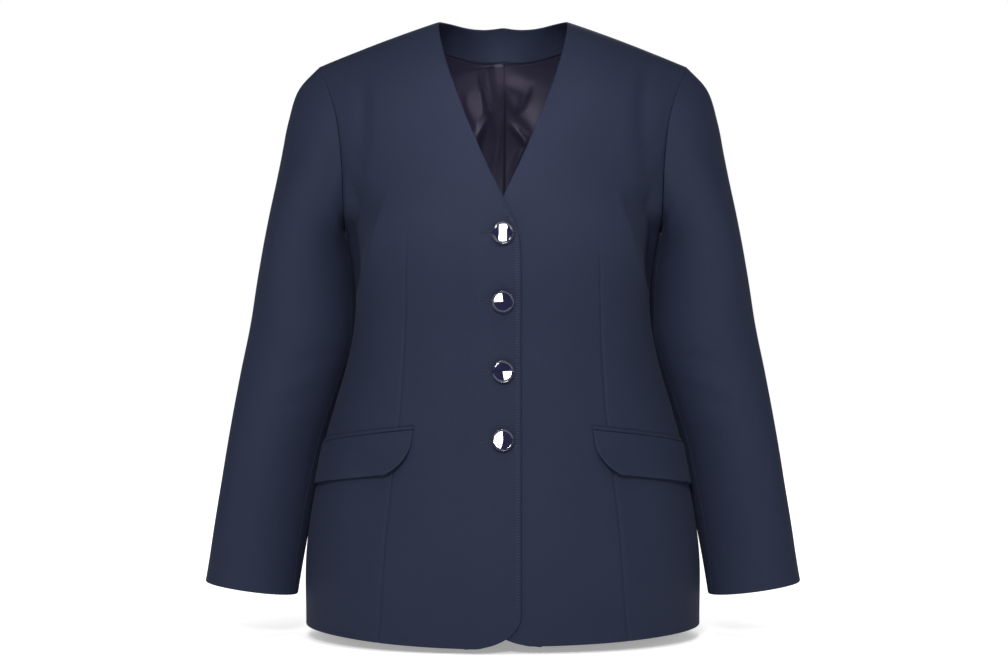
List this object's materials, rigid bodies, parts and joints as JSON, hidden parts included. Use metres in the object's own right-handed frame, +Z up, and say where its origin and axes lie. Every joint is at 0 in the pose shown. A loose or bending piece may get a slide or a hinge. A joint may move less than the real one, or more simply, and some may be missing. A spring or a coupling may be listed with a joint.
{
  "type": "blazer",
  "caption": "Collarless V-neck single-breasted blazer with long two-piece sleeves, curved flap pockets and a lined back, filled out as if worn.",
  "frame": {"origin": "mount shoulders: midway between the side neck points, on the line where the wearer's shoulders carry the jacket", "axes": "+Z up along the body, -Y is the jacket's front, +X is the wearer's left"},
  "size_m": [0.6864, 0.326, 0.7116],
  "materials": {
    "suiting": "matte worsted twill",
    "lining": "satin",
    "button": "polished"
  },
  "bodies": {
    "root": {"front_right": "suiting", "front_left": "suiting", "back_right": "suiting", "back_left": "suiting", "sleeve_top_right": "suiting", "sleeve_top_left": "suiting", "sleeve_under_right": "suiting", "sleeve_under_left": "suiting", "pocket_flap_right": "suiting", "pocket_flap_left": "suiting", "pocket_welt_right": "suiting", "pocket_welt_left": "suiting", "neck_facing_back": "suiting", "lining_back_right": "lining", "lining_back_left": "lining", "button_1": "button", "button_2": "button", "button_3": "button", "button_4": "button"}
  },
  "joints": []
}
